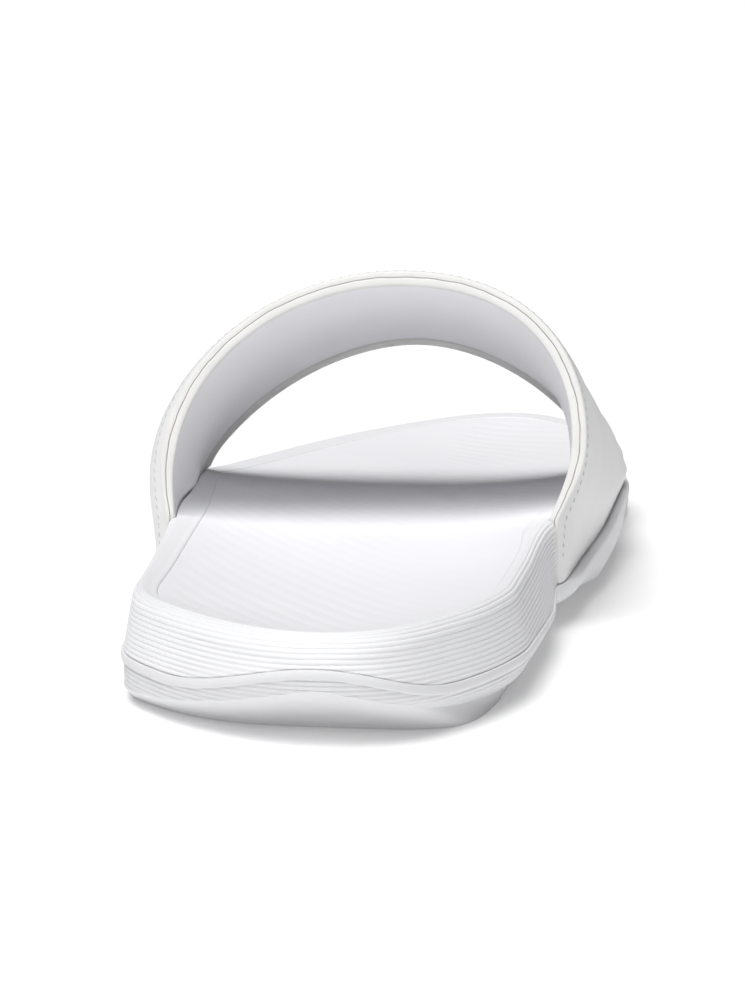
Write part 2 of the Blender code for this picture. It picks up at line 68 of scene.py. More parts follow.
LENS_RISE = 0.41              # rise of the rear bevel, share of SOLE_HEIGHT
LENS_BASE = 0.12              # height of that bevel along the sides
LENS_POWERS = (1.3, 1.1)      # shape of the bevel's upper edge around the heel
HEEL_REST = 0.165             # middle of the heel's flat spot, share of LENGTH
AXIS_REAR = 0.8               # where the sole's middle line starts, share of HEEL_ROUND
AXIS_FRONT = 0.5              # and where it ends before the toe, share of TOE_ROUND
HUMP_SPAN = 0.8               # share of the heel's width that the step's hump takes
TREAD_FULLNESS = 0.5          # power on the tread's rounded ends: below 1 is squarer
DISH_POWER = 2.5              # how late the footbed rises towards its rim

# Strap sizes, as in the frame
STRAP_HEIGHT = 73 * MM        # outside, at the rear edge
STRAP_CROWN_WALL = 3.2 * MM
STRAP_FOOT_WALL = 4.8 * MM
STRAP_NOTCH = 3.2 * MM        # how far the strap's legs are let into the midsole
STRAP_LIP = 1.2 * MM          # outsole standing out around the strap's legs
STRAP_PLACE = 0.3794          # rear edge of both legs, share of LENGTH
STRAP_CROWN_SET = 15.5 * MM   # how far the crown's rear edge lies ahead of the legs'
LIP_FALL = 40 * MM            # length over which the lip goes back, from the lateral leg's front
UPRIGHT = (0.2, 0.5)          # shares of the rise between which depth turns from level to square

# Sizes that come closer to the photo than the frame's
STRAP_WIDTH_LATERAL = 82 * MM   # along the foot of each leg
STRAP_WIDTH_MEDIAL = 97 * MM
STRAP_CROWN_WIDTH = 68 * MM
LIP_RISE = 20 * MM            # length over which the lip comes out around the strap's rear edge
LIP_AHEAD = 0.7               # share of that length that lies ahead of the edge
LIP_MORE = 0.7 * MM           # how much further the finished lip stands out
HEEL_HUMP = 0.26              # rise of the step at the rear, share of SOLE_HEIGHT

# Shares of LENGTH along the shoe, and of BALL_WIDTH out to the midsole's foot
OUTLINE = {
    "along":   (0.00, 0.07, 0.12, 0.18, 0.30, 0.37, 0.455, 0.56, 0.665, 0.72, 0.79, 0.86, 0.93, 1.00),
    "lateral": (.288, .356, .396, .404, .432, .449, .475, .520, .560, .522, .479, .438, .392, .300),
    "medial":  (.379, .359, .364, .376, .384, .374, .384, .416, .424, .425, .445, .480, .510, .495),
}
# Shares of SOLE_HEIGHT: the outsole's upper edge, the footbed's rim and middle, the outsole's
# floor and the tread. Only step_medial differs from the frame's, to come closer to the photo.
HEIGHTS = {
    "along":        (0.00, 0.18, 0.24, 0.30, 0.37, 0.455, 0.56, 0.665, 0.72, 0.79, 0.92, 1.00),
    "step_lateral": (0.46, 0.45, 0.455, 0.45, 0.38, 0.46, 0.64, 0.73, 0.71, 0.66, 0.66, 0.73),
    "step_medial":  (0.46, 0.455, 0.44, 0.42, 0.47, 0.50, 0.65, 0.77, 0.78, 0.71, 0.67, 0.73),
    "rim_lateral":  (1.00, 1.01, 1.02, 1.04, 1.06, 1.06, 1.00, 0.91, 0.865, 0.85, 0.895, 0.98),
    "rim_medial":   (1.00, 1.02, 1.04, 1.07, 1.12, 1.11, 1.05, 0.975, 0.94, 0.90, 0.92, 0.98),
    "bed":          (0.83, 0.80, 0.80, 0.81, 0.84, 0.85, 0.82, 0.76, 0.74, 0.73, 0.78, 0.86),
    "core":         (0.45, 0.40, 0.39, 0.38, 0.36, 0.36, 0.36, 0.36, 0.36, 0.38, 0.45, 0.55),
    "tread":        (0.00, 0.00, 0.00, 0.04, 0.11, 0.10, 0.00, 0.00, 0.00, 0.03, 0.22, 0.42),
}
# Slope of the midsole's side, and taper of the outsole's side as a share of SOLE_HEIGHT, both
# closer to the photo than the frame's
LEAN = {
    "along":         (0.00, 0.12, 0.30, 0.38, 0.46, 0.67, 0.80, 1.00),
    "lateral":       (0.22, 0.19, 0.09, 0.00, -0.14, -0.14, 0.00, 0.20),
    "medial":        (0.22, 0.25, 0.24, 0.02, -0.14, -0.14, 0.05, 0.20),
    "lateral_under": (0.05, 0.01, 0.01, 0.03, 0.04, 0.04, 0.04, 0.04),
    "medial_under":  (0.05, 0.20, 0.20, 0.16, 0.15, 0.14, 0.08, 0.06),
}
# The strap's arch, across its width: the crown's place and height, as shares of BALL_WIDTH and
# STRAP_HEIGHT, and the handles of each half's curve. rise and crown are shares of the half's
# height and width, and out is one of BALL_WIDTH. It comes closer to the photo than the frame's.
STRAP = {
    "across":        (0.00, 0.33, 0.67, 1.00),
    "crown_across":  (0.03, 0.01, -0.01, -0.03),
    "crown_height":  (1.00, 0.915, 0.820, 0.714),
    "lateral_rise":  (0.69, 0.58, 0.50, 0.46),
    "lateral_out":   (0.062, 0.048, 0.015, -0.053),
    "lateral_crown": (0.51, 0.456, 0.41, 0.385),
    "medial_rise":   (0.56, 0.50, 0.46, 0.48),
    "medial_out":    (0.100, 0.038, -0.005, -0.042),
    "medial_crown":  (0.98, 0.80, 0.58, 0.42),
}

STRAP_REAR = STRAP_PLACE * LENGTH
STRAP_FRONTS = (STRAP_REAR + STRAP_WIDTH_LATERAL, STRAP_REAR + STRAP_WIDTH_MEDIAL)
NOTCH_EDGE = 1.5 * FIT_GAP    # from the strap's edges to the ends of its seat
NOTCH_STEP = 0.1 * FIT_GAP    # half the length over which the seat begins and ends

# Side and rim of the midsole
STEP_GAP = 0.05 * MM          # the fine line that shows between midsole and outsole
EDGE_NOTCH = 1.75 * MM        # depth of the strap's seat at the strap's thin rear edge
EDGE_FALL = 35 * MM           # length over which the seat reaches its full depth
RIB_PITCH = 0.93 * MM
RIB_DEPTH = 0.24 * MM
RIB_POWER = 1.6               # how narrow the grooves between the ribs are
RIB_START = (0.3 * MM, 1.2 * MM)   # distances from the rim between which the ribs come in
RIB_END = 2.5 * MM            # length over which they fade out before the strap
RIB_DRIFT = 0.17 * MM         # how far they wander
RIB_DRIFT_LENGTHS = (8 * MM, 3 * MM)   # along the side, and down it
ROLL = 2.6 * MM               # height of the soft shoulder below the rim, at the sides
ROLL_REAR = 5.2 * MM          # and at the rear of the heel
ROLL_POWER = 0.7              # how soon it grows around the heel
ROLL_ROOM = 0.9               # the most that it takes of the side's height
ROLL_AT_STRAP = 0.5 * MM
ROLL_SPREAD = 0.85            # how far it comes in, for its height
FOOT_FILLET = 0.15 * MM       # how far the side's foot is rounded in
FOOT_FILLET_HEIGHT = 0.25 * MM

# Footbed
BORDER = 6.6 * MM             # from the midsole's foot to the insole's edge
SEAT_FLOOR = (-0.05 * MM, 8 * MM, 18 * MM)   # loops of the seat's floor, inwards from BORDER
INSOLE_UNDERSIDE = (18 * MM, 8 * MM, 0.2 * MM)
INSOLE_TOP = 1.1 * MM         # from the insole's edge to the first loop of its wavy top
TOP_REACH = 35 * MM           # from there to the middle line, roughly
WAVE_PITCH = 4 * MM           # of the footbed's wavy lines
WAVE_DEPTH = 0.08 * MM
WAVE_FADE = (0.3 * MM, 3 * MM)   # distances from the edge between which the lines come in
WAVE_ANGLE = np.radians(36)   # of the lines under the foot
WAVE_TURN = np.radians(42)    # how much more they turn at the toe
WAVE_TURN_PLACES = (205 * MM, 275 * MM)
WAVE_DRIFT = 1.6 * MM         # how far the lines wander
WAVE_DRIFT_LENGTHS = (17 * MM, 23 * MM)   # across the shoe, and along it
WAVE_OVERTONE = 0.12          # finer second wave, share of WAVE_DEPTH
WAVE_OVERTONE_SHIFT = 0.8
FLOW_STEPS = 400
# Raised edge of the insole's seat, in mm from BORDER and down from the footbed
SEAT_EDGE = {
    "inset": (-1.6, -1.1, -0.7, -0.35, -0.12, -0.03, -0.03),
    "drop":  (0.0, -0.05, -0.12, -0.13, -0.06, 0.06, 0.9),
}
# Rounded edge of the insole, in the same way
INSOLE_EDGE = {
    "inset": (0.0, 0.0, 0.05, 0.2, 0.5),
    "drop":  (2.3, 0.12, 0.03, 0.0, 0.0),
}

# Outsole
BEVEL_BULGE = 0.015           # how far the bevel bulges, share of its height
BEVEL_LIP = 0.18 * MM         # overhang of the side above the bevel
BEVEL_LIP_HEIGHT = 0.5 * MM
LOWER_RIB_POWER = 2           # how narrow the grooves below the bead are
LOWER_RIB_START = 0.06        # share of the side's height over which they come in
SIDE_TAPER = 1.5              # how soon the side's taper fades upwards
SIDE_SPACING = 1.3            # how much closer together its lower rows are
BEAD_TURN = 0.75 * np.pi      # how far the bead turns, from the side to its top
FIELD_EDGE = 1.5 * MM         # width over which the siping starts inside the channel
TREAD_WAVE_PITCH = 3.4 * MM   # of the siping
TREAD_WAVE_DEPTH = 0.5 * MM
TREAD_WAVE_SWING = 2.2 * MM
TREAD_WAVE_SPAN = 13 * MM
TREAD_WAVE_CUT = (0.2, 0.75)  # heights of its wave between which a cut's wall rises

# Layers of the strap: a depth is measured outwards from the plain inner face of StrapFace
NOMINAL_WIDTH = 75 * MM       # turns a distance from the strap's edge into a share of its width
EDGE_FOOT_WALL = 2.0 * MM     # wall of the thin edges at the foot
EDGE_WALL_RISE = (-2 * MM, 16 * MM)   # heights above the rim between which it grows to the crown's
EDGE_SET = 1.3 * MM           # depth of the rear edge's inner face, at the legs
MEDIAL_SET = 0.8 * MM         # how much further out it lies above the rim, at the medial leg
MEDIAL_SET_RISE = 14 * MM     # height above the rim over which it gets there
FRONT_SET = -0.8 * MM         # depth of the front edge's inner face
SET_CHANGE = (0.1, 0.9)       # shares of the width between which one turns into the other
LEG_END = (0.35, 0.95)        # shares of the rise between which a leg turns into the crown
LEG_BULGES = (6.5 * MM, 5.6 * MM)   # outer face of the padded middle, at the lateral and medial leg
CROWN_BULGE = 3.5 * MM        # outer face of the padded middle, at the crown
TUCKS = (1.2 * MM, 2.4 * MM)  # twice how far that face comes in at TUCK_HEIGHT below the rim
TUCK_HEIGHT = 12 * MM
ROUND_OFF = 7.5 * MM          # width over which it rounds off towards an edge
LEG_PADS = (1.4 * MM, 3.2 * MM)   # how far the lining stands in, at the lateral and medial leg
CROWN_PAD = 0.5 * MM          # how far the lining stands in at the crown
PAD_FOOT = (-0.2 * MM, 0.9 * MM)   # heights above the rim between which the padding comes in
LINING_INSET = 2.1 * MM       # from the strap's edge to the lining's hem
LINING_RECESS = 0.9 * MM      # how much deeper the hem lies than the edge
LINING_SLOPE = LINING_INSET - 3 * MM   # where the curve of the padding starts
LINING_WALL = 0.5 * MM
LINING_GAP = 0.1 * MM         # from the padding's curve to the lining's face
LINING_HOLD = 1.0 * MM        # how far out from the edge's inner face it reaches at least
HEM_ROLL = 0.5 * MM           # how far the hem rolls under
HEM_ROLL_WIDTH = 1.6 * MM
CORE_RECESS = 1.1 * MM        # how far the core gives way to the lining
CORE_RECESS_PLACE = (1.5 * MM, 2.1 * MM)   # distances from the edge between which it does
CORE_WALL = 0.3 * MM          # from the core's inner face to the seam, at least
COVER_CORNERS = (0.2 * MM, 0.5 * MM)   # radii at a layer's inner and outer face
CORE_CORNERS = (0.5 * MM, 0.2 * MM)
LINING_CORNERS = (0.1 * MM, 0.1 * MM)
SEAM = 0.55                   # depth of the seam between cover and core, share of the edge's wall
SEAM_GAP = 0.045 * MM         # half its width
SEAM_WANDER = 0.05 * MM
SEAM_WANDER_LENGTH = 3.1 * MM
SEAM_STEP = 0.06 * MM         # small sudden shifts of the seam
SEAM_STEP_LENGTHS = (0.9 * MM, 2.3 * MM)
SEAM_STEEPNESS = 3
STITCH_PITCH = 1.95 * MM
STITCH_LENGTH = 1.35 * MM
STITCH_SLANT = 0.5
STITCH_RADIUS = 0.21 * MM
STITCH_INSET = 1.2 * MM       # from the strap's edge
STITCH_MARGIN = 4 * MM        # from the strap's foot to the first stitch
STITCH_DIP = 0.10 * MM        # how far a thread's ends sink in
STITCH_END = 0.05             # how thin they get
STITCH_FULLNESS = 0.6
STITCH_GROOVE = 0.16 * MM     # depth of the furrow that the threads pull
STITCH_GROOVE_WIDTH = 0.45 * MM

# Fineness of the meshes
END_STEPS = 56
STATION_PITCH = 1.35 * MM
WALL_ROWS = 144
BED_RINGS = 84
TREAD_RINGS = 70
BEVEL_ROWS = (0.03, 0.08, 0.2, 0.35, 0.5, 0.65, 0.8, 0.92, 0.97, 0.985)
LOWER_RIB_ROWS = 48
BEAD_ROWS = 10
LEG_STEPS = 14
ARCH_STEPS = 96
NEAR_ROWS = np.linspace(0.8, 4.5, 12) * MM   # distances from the strap's edge
MIDDLE_ROWS = 42
CORNER_TURNS = np.radians((5, 30, 60, 85))
STITCH_SIDES = 8
STITCH_RINGS = 7
STITCH_CAP = np.array([[0, 1, 2, 7], [2, 3, 6, 7], [3, 4, 5, 6]])   # quads that close eight sides
SHARP_ANGLE = np.radians(60)

# Surfaces
PATCH_BLEND = (0.35, 0.65)    # how softly the patches of colour meet
ROUGHNESS_SPREAD = 0.06
GRAIN_DETAIL = 4

# Camera and lights
CAMERA_TARGET = Vector((0, 89.3, 30)) * MM
CAMERA_TURN = np.radians(8)
CAMERA_RISE = np.radians(9)
CAMERA_DISTANCE = 700 * MM
SENSOR_WIDTH = 36
FOCAL_PIXELS = 3258.7
PHOTO_CENTRE = (398.2, 463.9)   # where the camera's axis meets the photo, in its pixels
PHOTO_SIZE = (750, 1000)
KEY = {"energy": 2.95, "spread": np.radians(42), "source": (-0.11, -0.39, 0.91)}
FILL = {"energy": 0.50, "spread": np.radians(80), "source": (0.02, -0.99, 0.12)}
SKY_STRENGTH = 0.12
FLOOR_REACH = 60              # half the floor's width, in metres
FLOOR_GLOW = 0.13


def smooth(table, column, at):
    """Read a column of a table along its first column, on a smooth curve through its rows."""
    knots = np.array(table[next(iter(table))])
    values = np.array(table[column])
    steps = np.diff(values) / np.diff(knots)
    same_way = steps[:-1] * steps[1:] > 0
    both = np.where(same_way, steps[:-1] + steps[1:], 1)
    inner = np.where(same_way, 2 * steps[:-1] * steps[1:] / both, 0)
    slopes = np.concatenate([steps[:1], inner, steps[-1:]])
    at = np.clip(at, knots[0], knots[-1])
    row = np.clip(np.searchsorted(knots, at, side="right") - 1, 0, len(knots) - 2)
    span = knots[row + 1] - knots[row]
    t = (at - knots[row]) / span
    start = (1 + 2 * t) * (1 - t) ** 2 * values[row] + t * (1 - t) ** 2 * span * slopes[row]
    end = t ** 2 * (3 - 2 * t) * values[row + 1] + t ** 2 * (t - 1) * span * slopes[row + 1]
    return start + end


def ease(low, high, value):
    """Go smoothly from 0 at low to 1 at high."""
    t = np.clip((value - low) / (high - low), 0, 1)
    return t * t * (3 - 2 * t)


def wobble(*phases):
    """A smooth uneven wave between about -1 and 1, from a few sines of unrelated lengths."""
    total = 0
    for i, phase in enumerate(phases):
        total = total + np.sin(phase * (1 + 0.37 * i) + 1.7 * i)
        total = total + 0.5 * np.sin(phase * (2.31 + 0.53 * i) + 0.9 * i)
    return total / (1.5 * len(phases))


def height(column, y):
    return SOLE_HEIGHT * smooth(HEIGHTS, column, y / LENGTH)


def side_name(side):
    return "lateral" if side == LATERAL else "medial"


def roundness(y):
    """Share of the full width that the rounded heel and toe leave at y."""
    from_heel = np.clip(1 - y / HEEL_ROUND, 0, 1)
    from_toe = np.clip(1 - (LENGTH - y) / TOE_ROUND, 0, 1)
    return np.sqrt(1 - from_heel ** 2) * np.sqrt(1 - from_toe ** 2)


def heel_roundness(y):
    """The same at the heel alone, and 1 in front of its rounded end."""
    return np.where(y < HEEL_ROUND, roundness(y), 1)


def outline_x(y, side, fullness=1.0):
    """The midsole's foot at y, on one side."""
    lateral = -BALL_WIDTH * smooth(OUTLINE, "lateral", y / LENGTH)
    medial = BALL_WIDTH * smooth(OUTLINE, "medial", y / LENGTH)
    middle = (lateral + medial) / 2
    return middle + side * (medial - lateral) / 2 * roundness(y) ** fullness


def axis_point(y):
    """The nearest point of the sole's middle line, which ends inside the rounded ends."""
    rear = AXIS_REAR * HEEL_ROUND
    front = AXIS_FRONT * TOE_ROUND
    at = np.where(y < HEEL_ROUND, rear + y * (1 - rear / HEEL_ROUND), y)
    left = LENGTH - y
    at = np.where(left < TOE_ROUND, LENGTH - front - left * (1 - front / TOE_ROUND), at)
    x = (outline_x(at, LATERAL) + outline_x(at, MEDIAL)) / 2
    return np.stack([x, at], axis=-1)


def reach(y, side):
    """Distance from the outline to the middle line."""
    edge = np.stack([outline_x(y, side), y], axis=-1)
    return np.linalg.norm(axis_point(y) - edge, axis=-1)


def inset_point(y, side, inset):
    """A point of the outline, moved in towards the middle line by a length."""
    edge = np.stack([outline_x(y, side), y], axis=-1)
    inward = axis_point(y) - edge
    inward /= np.linalg.norm(inward, axis=-1)[..., None]
    return edge + inward * np.asarray(inset)[..., None]


def step_height(y, side):
    """Upper edge of the outsole, with a hump at the middle of the heel."""
    rear = heel_roundness(y)
    hump = np.clip(1 - (rear / HUMP_SPAN) ** 2, 0, 1) ** 2
    return height("step_" + side_name(side), y) + SOLE_HEIGHT * HEEL_HUMP * hump


def lens_height(y):
    """Upper edge of the bevel around the tread: high at the middle of the heel."""
    rear = heel_roundness(y)
    rise = np.clip(1 - rear ** LENS_POWERS[0], 0, 1) ** LENS_POWERS[1]
    return SOLE_HEIGHT * (LENS_BASE + LENS_RISE * rise)


def rim_height(y, side):
    return height("rim_" + side_name(side), y)


def lean(y, side, share):
    """Inset of the side at a share of its height."""
    tall = rim_height(y, side) - FRAME_ROLL - step_height(y, side)
    slope = smooth(LEAN, side_name(side), y / LENGTH)
    return tall * slope * np.clip(share, 0, 1)


def undercut(y, side):
    """How far the outsole's side tapers in towards the bevel."""
    return SOLE_HEIGHT * smooth(LEAN, side_name(side) + "_under", y / LENGTH)


def strap_front(side):
    return STRAP_FRONTS[0 if side == LATERAL else 1]


def notch(y, side):
    """Depth of the midsole's seat for the strap's legs."""
    inside = (y > STRAP_REAR - NOTCH_EDGE) & (y < strap_front(side) + NOTCH_EDGE)
    depth = EDGE_NOTCH + (STRAP_NOTCH - EDGE_NOTCH) * ease(0, EDGE_FALL, y - STRAP_REAR)
    return np.where(inside, depth, 0)


def outsole_proud(y):
    """How far the outsole stands out from the midsole's foot: to a lip around the strap."""
    strap = STRAP_FOOT_WALL + FIT_GAP - STRAP_NOTCH + STRAP_LIP + LIP_MORE
    rise = ease(STRAP_REAR - (1 - LIP_AHEAD) * LIP_RISE, STRAP_REAR + LIP_AHEAD * LIP_RISE, y)
    fall = ease(STRAP_FRONTS[0], STRAP_FRONTS[0] + LIP_FALL, y)
    return BEAD_PROUD + (strap - BEAD_PROUD) * rise * (1 - fall)


def stations(breaks):
    """Places along one side, with one at each break: closer together at the rounded ends."""
    turn = np.linspace(0, np.pi / 2, END_STEPS)
    places = list(HEEL_ROUND * (1 - np.cos(turn)))
    for stop in breaks:
        span = stop - places[-1]
        steps = max(1, round(span / STATION_PITCH))
        places += list(places[-1] + span * np.arange(1, steps + 1) / steps)
    return np.array(places + list(places[-1] + (LENGTH - places[-1]) * np.sin(turn[1:])))


def paired_stations(breaks_lateral, breaks_medial):
    """Stations of both sides, as many on each: the medial ones follow the lateral ones."""
    lateral = stations(breaks_lateral)
    knots = [0, HEEL_ROUND, *breaks_lateral, LENGTH]
    targets = [0, HEEL_ROUND, *breaks_medial, LENGTH]
    return lateral, np.interp(lateral, knots, targets)


def ring(places, point):
    """A closed loop of points: up the lateral side from heel to toe, back down the medial side."""
    lateral = point(places[0], LATERAL)
    medial = point(places[1], MEDIAL)
    return np.concatenate([lateral, medial[-2:0:-1]])


def raised(flat, level):
    """Points on the floor's plane, lifted to their heights."""
    return np.concatenate([flat, level[:, None]], axis=1)


def wall_ring(places, inset, level):
    """A loop whose inset and height are functions of the place and side."""
    def point(y, side):
        flat = inset_point(y, side, np.broadcast_to(inset(y, side), y.shape))
        return raised(flat, np.broadcast_to(level(y, side), y.shape))
    return ring(places, point)


def middle_row(places, level):
    """The row of points on the middle line that closes a stack of loops."""
    flat = (axis_point(places[0]) + axis_point(places[1])) / 2
    return raised(flat, level(flat[:, 0], flat[:, 1]))


def new_object(name, points, faces, material, replaced=()):
    """Make a smooth-shaded object of quads, facing out, that rides on the shoe."""
    corners = points[faces]
    across = np.cross(corners[:, 1] - corners[:, 0], corners[:, 2] - corners[:, 0])
    across += np.cross(corners[:, 2] - corners[:, 0], corners[:, 3] - corners[:, 0])
    if np.sum(across * corners.mean(axis=1)) < 0:
        faces = faces[:, ::-1]
    placed = points - np.array([0, HEEL_REST * LENGTH, 0])
    mesh = bpy.data.meshes.new(name)
    mesh.from_pydata(placed.tolist(), [], faces.tolist())
    mesh.shade_smooth()
    mesh.set_sharp_from_angle(angle=SHARP_ANGLE)
    mesh.materials.append(material)
    piece = bpy.data.objects.new(name, mesh)
    bpy.context.scene.collection.objects.link(piece)
    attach(piece, "root")
    if replaced:
        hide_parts(*replaced)
    return piece


def band(low, high, count):
    """Quads between two closed loops of points, whose numbers start at low and high."""
    i = np.arange(count)
    j = (i + 1) % count
    return np.stack([low + i, low + j, high + j, high + i], axis=1)


def stack_faces(loops, count):
    """Quads of a stack of closed loops, closed below and above by a row on the middle line."""
    i = np.arange(count)
    j = (i + 1) % count
    faces = [band(k * count, (k + 1) * count, count) for k in range(loops - 1)]
    first_row = loops * count
    last_row = first_row + count // 2 + 1
    inner_i, inner_j = np.minimum(i, count - i), np.minimum(j, count - j)
    faces.append(np.stack([j, i, first_row + inner_i, first_row + inner_j], axis=1))
    top = (loops - 1) * count
    faces.append(np.stack([top + i, top + j, last_row + inner_j, last_row + inner_i], axis=1))
    return np.concatenate(faces)


def stack(name, first_row, loops, last_row, material, replaced):
    """A closed body: loops from its underside to its top, closed by a row at either end."""
    points = np.concatenate([*loops, first_row, last_row])
    faces = stack_faces(len(loops), len(loops[0]))
    return new_object(name, points, faces, material, replaced)


# Materials

def noise(tree, place, scale, detail=2.0):
    texture = tree.nodes.new("ShaderNodeTexNoise")
    texture.inputs["Scale"].default_value = scale
    texture.inputs["Detail"].default_value = detail
    tree.links.new(place, texture.inputs["Vector"])
    return texture.outputs["Fac"]


def mix_colours(tree, share, first, second):
    ramp = tree.nodes.new("ShaderNodeValToRGB")
    for element, position, colour in zip(ramp.color_ramp.elements, PATCH_BLEND, (first, second)):
        element.position = position
        element.color = (*colour, 1)
    tree.links.new(share, ramp.inputs["Fac"])
    return ramp.outputs["Color"]


def to_range(tree, value, low, high):
    spread = tree.nodes.new("ShaderNodeMapRange")
    spread.inputs["To Min"].default_value = low
    spread.inputs["To Max"].default_value = high
    tree.links.new(value, spread.inputs["Value"])
    return spread.outputs["Result"]


def bump(tree, value, distance):
    relief = tree.nodes.new("ShaderNodeBump")
    relief.inputs["Strength"].default_value = 1
    relief.inputs["Distance"].default_value = distance
    tree.links.new(value, relief.inputs["Height"])
    return relief.outputs["Normal"]


def surface(name, pale, deep, roughness, patch, grain, grain_depth):
    """A Principled material with soft patches of colour and a fine grain.

    patch and grain are lengths: the size of the colour patches and of the grain's cells.
    """
    material = bpy.data.materials.new(name)
    material.use_nodes = True
    tree = material.node_tree
    shader = tree.nodes["Principled BSDF"]
    place = tree.nodes.new("ShaderNodeTexCoord").outputs["Object"]
    patches = noise(tree, place, 1 / patch)
    tree.links.new(mix_colours(tree, patches, deep, pale), shader.inputs["Base Color"])
    fine = noise(tree, place, 1 / grain, GRAIN_DETAIL)
    uneven = to_range(tree, fine, roughness - ROUGHNESS_SPREAD, roughness + ROUGHNESS_SPREAD)
    tree.links.new(uneven, shader.inputs["Roughness"])
    tree.links.new(bump(tree, fine, grain_depth), shader.inputs["Normal"])
    shader.inputs["Metallic"].default_value = 0
    return material


foam = surface("midsole_foam", pale=(0.880, 0.880, 0.893), deep=(0.860, 0.860, 0.875),
               roughness=0.55, patch=30 * MM, grain=0.5 * MM, grain_depth=0.02 * MM)
rubber = surface("outsole_rubber", pale=(0.800, 0.800, 0.812), deep=(0.780, 0.780, 0.795),
                 roughness=0.5, patch=30 * MM, grain=0.5 * MM, grain_depth=0.02 * MM)
bed_foam = surface("insole_foam", pale=(0.892, 0.892, 0.915), deep=(0.875, 0.875, 0.900),
                   roughness=0.62, patch=25 * MM, grain=0.6 * MM, grain_depth=0.03 * MM)
leather = surface("strap_leather", pale=(0.830, 0.830, 0.830), deep=(0.810, 0.810, 0.813),
                  roughness=0.42, patch=20 * MM, grain=0.45 * MM, grain_depth=0.03 * MM)
edge_foam = surface("strap_edge", pale=(0.800, 0.794, 0.775), deep=(0.765, 0.759, 0.740),
                    roughness=0.5, patch=6 * MM, grain=0.5 * MM, grain_depth=0.03 * MM)
cloth = surface("strap_lining", pale=(0.925, 0.925, 0.940), deep=(0.905, 0.905, 0.925),
                roughness=0.8, patch=15 * MM, grain=0.3 * MM, grain_depth=0.05 * MM)
nap = cloth.node_tree.nodes["Principled BSDF"]
nap.inputs["Sheen Weight"].default_value = 0.6
nap.inputs["Sheen Roughness"].default_value = 0.45
thread = surface("thread", pale=(0.600, 0.600, 0.600), deep=(0.520, 0.520, 0.520),
                 roughness=0.6, patch=1 * MM, grain=0.2 * MM, grain_depth=0.03 * MM)


# Midsole

def rib_relief(run, y, side):
    """Depth of the fine grooves between the ribs, at a distance below the rim along the side."""
    along, down = RIB_DRIFT_LENGTHS
    drift = RIB_DRIFT * wobble(y / along + side, run / down)
    groove = (1 - np.abs(np.sin(np.pi * (run + drift) / RIB_PITCH))) ** RIB_POWER
    ends = 1 - ease(STRAP_REAR - RIB_END, STRAP_REAR, y)
    return RIB_DEPTH * groove * ends * ease(*RIB_START, run)


def lower_rib_relief(z, y):
    """Depth of the level grooves below the outsole's bead."""
    groove = (1 - np.abs(np.sin(np.pi * z / RIB_PITCH))) ** LOWER_RIB_POWER
    return RIB_DEPTH * groove * (1 - ease(STRAP_REAR - LIP_RISE, STRAP_REAR, y))


def midsole_stations():
    """Stations with a pair at each end of the notches for the strap's legs."""
    rear = STRAP_REAR - NOTCH_EDGE
    breaks = []
    for front in STRAP_FRONTS:
        front = front + NOTCH_EDGE
        breaks.append([rear - NOTCH_STEP, rear + NOTCH_STEP, front - NOTCH_STEP, front + NOTCH_STEP])
    return paired_stations(*breaks)


def bed_height(x_share, y, rim):
    """The footbed's surface: x_share is 1 at its rim and 0 on the middle line."""
    bed = height("bed", y)
    return bed + (rim - bed) * x_share ** DISH_POWER


def bed_ring(places, inset, drop=0.0, relief=None):
    """A loop on the footbed: inset from the midsole's foot by a function of y and side."""
    def point(y, side):
        far = reach(y, side)
        rim_inset = lean(y, side, 1) + FRAME_ROLL
        inward = np.broadcast_to(inset(y, side), y.shape)
        share = np.clip(1 - (inward - rim_inset) / (far - rim_inset), 0, 1)
        flat = inset_point(y, side, inward)
        level = bed_height(share, flat[:, 1], rim_height(y, side)) - drop
        if relief is not None:
            level = level + relief(flat[:, 0], flat[:, 1])
        return raised(flat, level)
    return ring(places, point)


def border_rings(places, table):
    """Loops along the insole's border, one for each row of a table of insets and drops."""
    loops = []
    for inset, drop in zip(table["inset"], table["drop"]):
        loops.append(bed_ring(places, lambda y, side, inset=inset: BORDER + inset * MM, drop * MM))
    return loops


